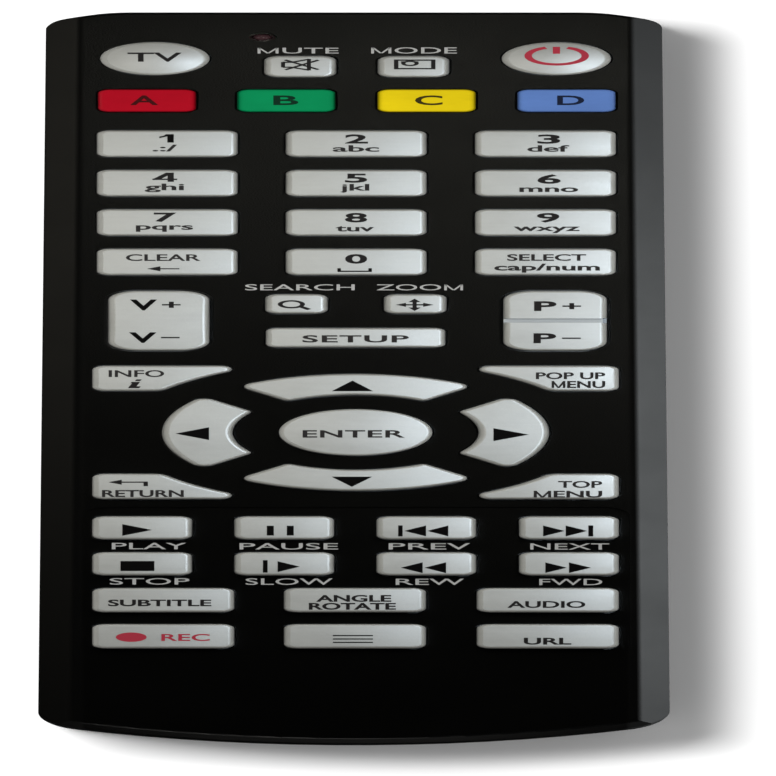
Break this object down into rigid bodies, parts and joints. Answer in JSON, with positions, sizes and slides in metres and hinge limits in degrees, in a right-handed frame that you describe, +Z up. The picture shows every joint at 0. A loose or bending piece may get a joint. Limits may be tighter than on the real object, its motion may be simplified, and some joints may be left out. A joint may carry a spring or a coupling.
{
  "type": "media player remote control",
  "caption": "Slim black hand-held infrared remote control with light grey rubber keys, a navigation ring, two rocker keys and a sliding battery door on its back.",
  "frame": {"origin": "middle of the flat underside, at the centre of the outer box in plan", "axes": "+Z up out of the key face, +Y along the length towards the infrared window, +X to the right seen by someone holding it with the window away from them"},
  "size_m": [0.0522, 0.2002, 0.0221],
  "materials": {
    "black_shell": "fine satin texture",
    "grey_key": "satin",
    "red_key": "satin",
    "green_key": "satin",
    "yellow_key": "satin",
    "blue_key": "satin",
    "dark_silicone": "matte",
    "board": "satin",
    "chip": "matte",
    "infrared_filter": "gloss",
    "clear_blue_resin": "gloss",
    "red_resin": "gloss",
    "cell_jacket": "gloss",
    "plated_steel": "satin"
  },
  "bodies": {
    "case": {"top_case": "black_shell", "back_case": "black_shell", "keypad_mat": "dark_silicone", "circuit_board": "board", "controller_chip": "chip", "ir_window": "infrared_filter", "ir_emitter": "clear_blue_resin", "indicator_lamp": "red_resin", "aaa_cells": "cell_jacket", "contact_plates": "plated_steel", "battery_springs": "plated_steel"},
    "battery_door": {"battery_door": "black_shell"},
    "rocker_volume": {"rocker_volume": "grey_key"},
    "rocker_program": {"rocker_program": "grey_key"},
    "key_tv": {"key_tv": "grey_key"},
    "key_power": {"key_power": "grey_key"},
    "key_mute": {"key_mute": "grey_key"},
    "key_mode": {"key_mode": "grey_key"},
    "key_a_red": {"key_a_red": "red_key"},
    "key_b_green": {"key_b_green": "green_key"},
    "key_c_yellow": {"key_c_yellow": "yellow_key"},
    "key_d_blue": {"key_d_blue": "blue_key"},
    "key_1": {"key_1": "grey_key"},
    "key_2": {"key_2": "grey_key"},
    "key_3": {"key_3": "grey_key"},
    "key_4": {"key_4": "grey_key"},
    "key_5": {"key_5": "grey_key"},
    "key_6": {"key_6": "grey_key"},
    "key_7": {"key_7": "grey_key"},
    "key_8": {"key_8": "grey_key"},
    "key_9": {"key_9": "grey_key"},
    "key_clear": {"key_clear": "grey_key"},
    "key_0": {"key_0": "grey_key"},
    "key_select": {"key_select": "grey_key"},
    "key_search": {"key_search": "grey_key"},
    "key_zoom": {"key_zoom": "grey_key"},
    "key_setup": {"key_setup": "grey_key"},
    "key_info": {"key_info": "grey_key"},
    "key_popup_menu": {"key_popup_menu": "grey_key"},
    "key_return": {"key_return": "grey_key"},
    "key_top_menu": {"key_top_menu": "grey_key"},
    "key_up": {"key_up": "grey_key"},
    "key_left": {"key_left": "grey_key"},
    "key_down": {"key_down": "grey_key"},
    "key_right": {"key_right": "grey_key"},
    "key_enter": {"key_enter": "grey_key"},
    "key_play": {"key_play": "grey_key"},
    "key_pause": {"key_pause": "grey_key"},
    "key_prev": {"key_prev": "grey_key"},
    "key_next": {"key_next": "grey_key"},
    "key_stop": {"key_stop": "grey_key"},
    "key_slow": {"key_slow": "grey_key"},
    "key_rewind": {"key_rewind": "grey_key"},
    "key_forward": {"key_forward": "grey_key"},
    "key_subtitle": {"key_subtitle": "grey_key"},
    "key_angle": {"key_angle": "grey_key"},
    "key_audio": {"key_audio": "grey_key"},
    "key_record": {"key_record": "grey_key"},
    "key_blank": {"key_blank": "grey_key"},
    "key_url": {"key_url": "grey_key"}
  },
  "joints": [
    {"name": "door_slide", "type": "slide", "parent": "case", "child": "battery_door", "axis": [0, -1, 0], "range_m": [0, 0.06]},
    {"name": "rocker_volume_tilt", "type": "hinge", "parent": "case", "child": "rocker_volume", "pos_m": [-0.01632, 0.0156, 0.018], "axis": [1, 0, 0], "range_deg": [-3.5, 3.5], "stiffness_Nm_per_rad": 0.17},
    {"name": "rocker_program_tilt", "type": "hinge", "parent": "case", "child": "rocker_program", "pos_m": [0.01655, 0.0156, 0.018], "axis": [1, 0, 0], "range_deg": [-3.5, 3.5], "stiffness_Nm_per_rad": 0.17},
    {"name": "key_power_press", "type": "slide", "parent": "case", "child": "key_power", "axis": [0, 0, -1], "range_m": [0, 0.0009], "stiffness_N_per_m": 500},
    {"name": "key_1_press", "type": "slide", "parent": "case", "child": "key_1", "axis": [0, 0, -1], "range_m": [0, 0.0009], "stiffness_N_per_m": 500},
    {"name": "key_enter_press", "type": "slide", "parent": "case", "child": "key_enter", "axis": [0, 0, -1], "range_m": [0, 0.0009], "stiffness_N_per_m": 500},
    {"name": "key_up_press", "type": "slide", "parent": "case", "child": "key_up", "axis": [0, 0, -1], "range_m": [0, 0.0009], "stiffness_N_per_m": 500},
    {"name": "key_play_press", "type": "slide", "parent": "case", "child": "key_play", "axis": [0, 0, -1], "range_m": [0, 0.0009], "stiffness_N_per_m": 500},
    {"name": "key_info_press", "type": "slide", "parent": "case", "child": "key_info", "axis": [0, 0, -1], "range_m": [0, 0.0009], "stiffness_N_per_m": 500},
    {"name": "key_d_blue_press", "type": "slide", "parent": "case", "child": "key_d_blue", "axis": [0, 0, -1], "range_m": [0, 0.0009], "stiffness_N_per_m": 500},
    {"name": "key_tv_press", "type": "slide", "parent": "case", "child": "key_tv", "axis": [0, 0, -1], "range_m": [0, 0.0009], "stiffness_N_per_m": 500},
    {"name": "key_mute_press", "type": "slide", "parent": "case", "child": "key_mute", "axis": [0, 0, -1], "range_m": [0, 0.0009], "stiffness_N_per_m": 500},
    {"name": "key_mode_press", "type": "slide", "parent": "case", "child": "key_mode", "axis": [0, 0, -1], "range_m": [0, 0.0009], "stiffness_N_per_m": 500},
    {"name": "key_a_red_press", "type": "slide", "parent": "case", "child": "key_a_red", "axis": [0, 0, -1], "range_m": [0, 0.0009], "stiffness_N_per_m": 500},
    {"name": "key_b_green_press", "type": "slide", "parent": "case", "child": "key_b_green", "axis": [0, 0, -1], "range_m": [0, 0.0009], "stiffness_N_per_m": 500},
    {"name": "key_c_yellow_press", "type": "slide", "parent": "case", "child": "key_c_yellow", "axis": [0, 0, -1], "range_m": [0, 0.0009], "stiffness_N_per_m": 500},
    {"name": "key_2_press", "type": "slide", "parent": "case", "child": "key_2", "axis": [0, 0, -1], "range_m": [0, 0.0009], "stiffness_N_per_m": 500},
    {"name": "key_3_press", "type": "slide", "parent": "case", "child": "key_3", "axis": [0, 0, -1], "range_m": [0, 0.0009], "stiffness_N_per_m": 500},
    {"name": "key_4_press", "type": "slide", "parent": "case", "child": "key_4", "axis": [0, 0, -1], "range_m": [0, 0.0009], "stiffness_N_per_m": 500},
    {"name": "key_5_press", "type": "slide", "parent": "case", "child": "key_5", "axis": [0, 0, -1], "range_m": [0, 0.0009], "stiffness_N_per_m": 500},
    {"name": "key_6_press", "type": "slide", "parent": "case", "child": "key_6", "axis": [0, 0, -1], "range_m": [0, 0.0009], "stiffness_N_per_m": 500},
    {"name": "key_7_press", "type": "slide", "parent": "case", "child": "key_7", "axis": [0, 0, -1], "range_m": [0, 0.0009], "stiffness_N_per_m": 500},
    {"name": "key_8_press", "type": "slide", "parent": "case", "child": "key_8", "axis": [0, 0, -1], "range_m": [0, 0.0009], "stiffness_N_per_m": 500},
    {"name": "key_9_press", "type": "slide", "parent": "case", "child": "key_9", "axis": [0, 0, -1], "range_m": [0, 0.0009], "stiffness_N_per_m": 500},
    {"name": "key_clear_press", "type": "slide", "parent": "case", "child": "key_clear", "axis": [0, 0, -1], "range_m": [0, 0.0009], "stiffness_N_per_m": 500},
    {"name": "key_0_press", "type": "slide", "parent": "case", "child": "key_0", "axis": [0, 0, -1], "range_m": [0, 0.0009], "stiffness_N_per_m": 500},
    {"name": "key_select_press", "type": "slide", "parent": "case", "child": "key_select", "axis": [0, 0, -1], "range_m": [0, 0.0009], "stiffness_N_per_m": 500},
    {"name": "key_search_press", "type": "slide", "parent": "case", "child": "key_search", "axis": [0, 0, -1], "range_m": [0, 0.0009], "stiffness_N_per_m": 500},
    {"name": "key_zoom_press", "type": "slide", "parent": "case", "child": "key_zoom", "axis": [0, 0, -1], "range_m": [0, 0.0009], "stiffness_N_per_m": 500},
    {"name": "key_setup_press", "type": "slide", "parent": "case", "child": "key_setup", "axis": [0, 0, -1], "range_m": [0, 0.0009], "stiffness_N_per_m": 500},
    {"name": "key_popup_menu_press", "type": "slide", "parent": "case", "child": "key_popup_menu", "axis": [0, 0, -1], "range_m": [0, 0.0009], "stiffness_N_per_m": 500},
    {"name": "key_return_press", "type": "slide", "parent": "case", "child": "key_return", "axis": [0, 0, -1], "range_m": [0, 0.0009], "stiffness_N_per_m": 500},
    {"name": "key_top_menu_press", "type": "slide", "parent": "case", "child": "key_top_menu", "axis": [0, 0, -1], "range_m": [0, 0.0009], "stiffness_N_per_m": 500},
    {"name": "key_left_press", "type": "slide", "parent": "case", "child": "key_left", "axis": [0, 0, -1], "range_m": [0, 0.0009], "stiffness_N_per_m": 500},
    {"name": "key_down_press", "type": "slide", "parent": "case", "child": "key_down", "axis": [0, 0, -1], "range_m": [0, 0.0009], "stiffness_N_per_m": 500},
    {"name": "key_right_press", "type": "slide", "parent": "case", "child": "key_right", "axis": [0, 0, -1], "range_m": [0, 0.0009], "stiffness_N_per_m": 500},
    {"name": "key_pause_press", "type": "slide", "parent": "case", "child": "key_pause", "axis": [0, 0, -1], "range_m": [0, 0.0009], "stiffness_N_per_m": 500},
    {"name": "key_prev_press", "type": "slide", "parent": "case", "child": "key_prev", "axis": [0, 0, -1], "range_m": [0, 0.0009], "stiffness_N_per_m": 500},
    {"name": "key_next_press", "type": "slide", "parent": "case", "child": "key_next", "axis": [0, 0, -1], "range_m": [0, 0.0009], "stiffness_N_per_m": 500},
    {"name": "key_stop_press", "type": "slide", "parent": "case", "child": "key_stop", "axis": [0, 0, -1], "range_m": [0, 0.0009], "stiffness_N_per_m": 500},
    {"name": "key_slow_press", "type": "slide", "parent": "case", "child": "key_slow", "axis": [0, 0, -1], "range_m": [0, 0.0009], "stiffness_N_per_m": 500},
    {"name": "key_rewind_press", "type": "slide", "parent": "case", "child": "key_rewind", "axis": [0, 0, -1], "range_m": [0, 0.0009], "stiffness_N_per_m": 500},
    {"name": "key_forward_press", "type": "slide", "parent": "case", "child": "key_forward", "axis": [0, 0, -1], "range_m": [0, 0.0009], "stiffness_N_per_m": 500},
    {"name": "key_subtitle_press", "type": "slide", "parent": "case", "child": "key_subtitle", "axis": [0, 0, -1], "range_m": [0, 0.0009], "stiffness_N_per_m": 500},
    {"name": "key_angle_press", "type": "slide", "parent": "case", "child": "key_angle", "axis": [0, 0, -1], "range_m": [0, 0.0009], "stiffness_N_per_m": 500},
    {"name": "key_audio_press", "type": "slide", "parent": "case", "child": "key_audio", "axis": [0, 0, -1], "range_m": [0, 0.0009], "stiffness_N_per_m": 500},
    {"name": "key_record_press", "type": "slide", "parent": "case", "child": "key_record", "axis": [0, 0, -1], "range_m": [0, 0.0009], "stiffness_N_per_m": 500},
    {"name": "key_blank_press", "type": "slide", "parent": "case", "child": "key_blank", "axis": [0, 0, -1], "range_m": [0, 0.0009], "stiffness_N_per_m": 500},
    {"name": "key_url_press", "type": "slide", "parent": "case", "child": "key_url", "axis": [0, 0, -1], "range_m": [0, 0.0009], "stiffness_N_per_m": 500}
  ]
}
